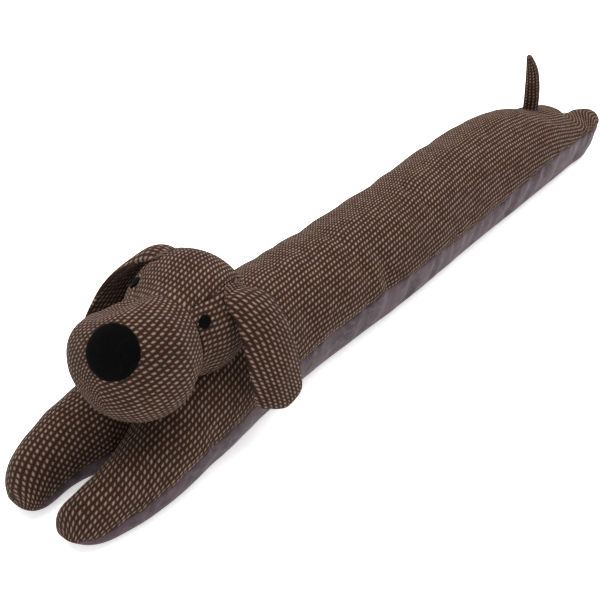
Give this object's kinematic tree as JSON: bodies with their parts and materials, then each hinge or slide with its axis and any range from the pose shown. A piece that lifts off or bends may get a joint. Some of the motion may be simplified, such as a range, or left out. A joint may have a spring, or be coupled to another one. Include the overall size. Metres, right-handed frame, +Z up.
{
  "type": "dog shaped draught excluder",
  "caption": "Long stuffed draught excluder shaped like a lying dog, tweed over a plain velour underside, with a sewn-on head, floppy ears, nose, eyes and tail.",
  "frame": {"origin": "middle of the footprint, on the floor under the belly", "axes": "+Z up, head at -X and tail at +X along the body, the dog's left side at -Y"},
  "size_m": [0.895, 0.173, 0.1796],
  "materials": {
    "tweed": "dark brown wool tweed with small light dots",
    "velour": "plain mauve brown short-napped velour",
    "felt": "black felt"
  },
  "bodies": {
    "root": {"body_top": "tweed", "body_underside": "velour", "head_crown": "tweed", "muzzle": "tweed", "cheek_left": "tweed", "cheek_right": "tweed", "nose": "felt", "eye_left": "felt", "eye_right": "felt", "ear_left": "tweed", "ear_right": "tweed", "tail": "tweed"}
  },
  "joints": []
}
